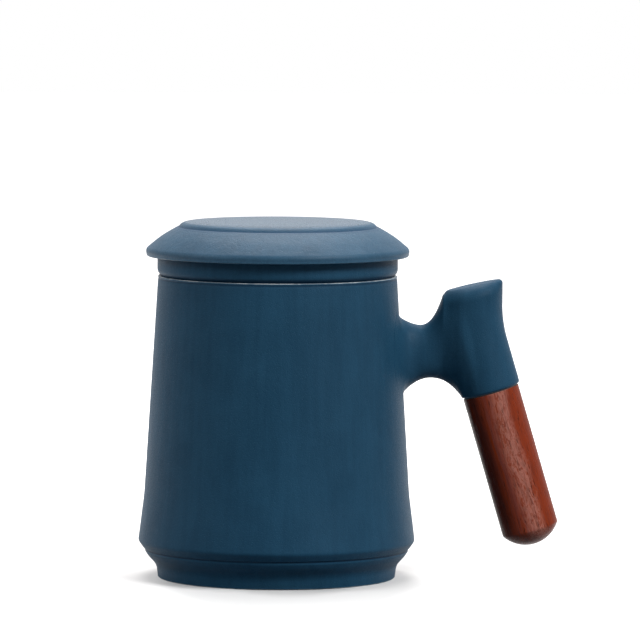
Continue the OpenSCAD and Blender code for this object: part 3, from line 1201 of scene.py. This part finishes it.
@dataclass
class Studio:
    """A plain pale table in soft light, seen from a little above and far off through a long lens."""

    distance: float = 2.1
    height: float = 0.2484
    target: tuple = (0.01432, 0.0, 0.0868)
    lens: float = 352.0
    roll: float = 0.28
    table_side: float = 4.0
    table_drop: float = 0.00002
    lamps: tuple = (
        Lamp("overhead", (0.03, 0.4, 1.1), 0.05, (0.8, 1.0), 16.9),
        Lamp("right_front", (0.92, -0.79, 1.02), 0.06, (0.8, 0.5), 27.0),
        Lamp("left_front", (-0.55, -1.25, 0.95), 0.06, (0.5, 0.5), 3.8),
        Lamp("left", (-0.9, -0.3, 0.7), 0.06, (0.5, 0.5), 5.0),
    )

    def build(self) -> None:
        """Makes the table, the world, the lamps and the camera."""
        self._table()
        self._world()
        for lamp in self.lamps:
            lamp.hang()
        self._camera()
        bpy.context.scene.view_settings.view_transform = "Standard"

    def _seen(self, tree: Tree) -> Socket:
        """Returns 1 for rays that see the plain white background, also reflected, and 0 for other light."""
        path = tree.add("LightPath").outputs
        return tree.most(tree.most(path["Is Camera Ray"], path["Is Transmission Ray"]), path["Is Glossy Ray"])

    def _table(self) -> None:
        """Makes the pale table top that keeps the shadow."""
        ends = np.array([(-1.0, -1.0, 0.0), (1.0, -1.0, 0.0), (1.0, 1.0, 0.0), (-1.0, 1.0, 0.0)])
        table = new_piece("table_top", ends * self.table_side, [(0, 1, 2, 3)])
        table.location.z = -self.table_drop
        material = bpy.data.materials.new("pale_table")
        material.use_nodes = True
        tree = Tree(material.node_tree)
        tree.tree.nodes.clear()
        seen = self._seen(tree)
        place = {"Vector": tree.add("TexCoord").outputs["Object"]}
        oval = tree.add("Mapping", place | {"Location": (-0.012, 0, 0), "Scale": (2.4, 1, 1)}).outputs[0]
        off = tree.add("VectorMath", {0: oval}, operation="LENGTH").outputs["Value"]
        # what lights the pieces from below: a dim top with a bluer ring round the foot
        ring = tree.times(tree.spread(off, 0.046, 0.056), tree.spread(off, 0.13, 0.08))
        unseen = tree.mix(ring, (0.07, 0.085, 0.1, 1.0), (0.08, 0.18, 0.25, 1.0))
        diffuse = tree.add("BsdfDiffuse", {"Color": tree.mix(seen, unseen, (0.55, 0.55, 0.55, 1.0))})
        # what the camera sees: a glow that is weak near the foot and grows outwards, a painted shadow over
        # the table's own that fades out into white
        near = tree.plus(tree.spread(off, 0.047, 0.064, 0.0, 0.13), tree.spread(off, 0.092, 0.115, 0.0, 0.17))
        fade = tree.plus(near, tree.spread(off, 0.1, 0.42, 0.0, 0.7))
        glow = tree.add("Emission", {"Color": (1, 1, 1, 1), "Strength": tree.times(seen, fade)})
        both = tree.add("AddShader", {0: diffuse.outputs[0], 1: glow.outputs[0]})
        tree.add("OutputMaterial", {"Surface": both.outputs[0]}).is_active_output = True
        table.data.materials.append(material)

    def _world(self) -> None:
        """Makes the surroundings: the white background, and a soft dim room that lights the pieces."""
        world = bpy.data.worlds.new("studio_room")
        world.use_nodes = True
        bpy.context.scene.world = world
        tree = Tree(world.node_tree)
        tree.tree.nodes.clear()
        way = tree.add("SeparateXYZ", {0: tree.add("TexCoord").outputs["Generated"]})
        # brighter behind the pieces and low down, and warmer in the middle than to the sides
        behind = tree.spread(way.outputs["Y"], 0.1, 1.0, 0.05, 3.35)
        behind = tree.times(behind, tree.spread(way.outputs["Z"], 0.12, 0.45, 1.0, 0.35))
        aside = tree.spread(tree.math("ABSOLUTE", way.outputs["X"]), 0.1, 0.6)
        tint = tree.mix(aside, (1.12, 0.87, 0.75, 1.0), (0.9, 0.95, 1.0, 1.0))
        room = tree.add("Background", {"Color": tint, "Strength": behind})
        white = tree.add("Background", {"Color": (1, 1, 1, 1), "Strength": 1.0})
        both = tree.add("MixShader", {0: self._seen(tree), 1: room.outputs[0], 2: white.outputs[0]})
        tree.add("OutputWorld", {"Surface": both.outputs[0]})

    def _camera(self) -> None:
        """Makes the camera and turns it to its target."""
        data = bpy.data.cameras.new("view_camera")
        data.lens = self.lens
        data.sensor_width = 36.0
        data.clip_start, data.clip_end = 0.05, 20.0
        camera = bpy.data.objects.new("view_camera", data)
        bpy.context.scene.collection.objects.link(camera)
        target = Vector(self.target)
        camera.location = Vector((target.x, -self.distance, self.height))
        camera.rotation_mode = "QUATERNION"
        turn = (target - camera.location).to_track_quat("-Z", "Y")
        camera.rotation_quaternion = turn @ Quaternion((0.0, 0.0, 1.0), math.radians(self.roll))
        bpy.context.scene.camera = camera


def main() -> None:
    """Builds the set piece by piece and reports each one."""
    logging.basicConfig(level=logging.INFO, format="%(message)s")
    wall = MugWall()
    for maker in (MugBody(wall), HandleBracket(wall), Grip(), InfuserCup(), Lid()):
        piece = maker.build()
        LOG.info("%s: %d faces", piece.name, len(piece.data.polygons))
    Studio().build()


if __name__ == "__main__":
    main()
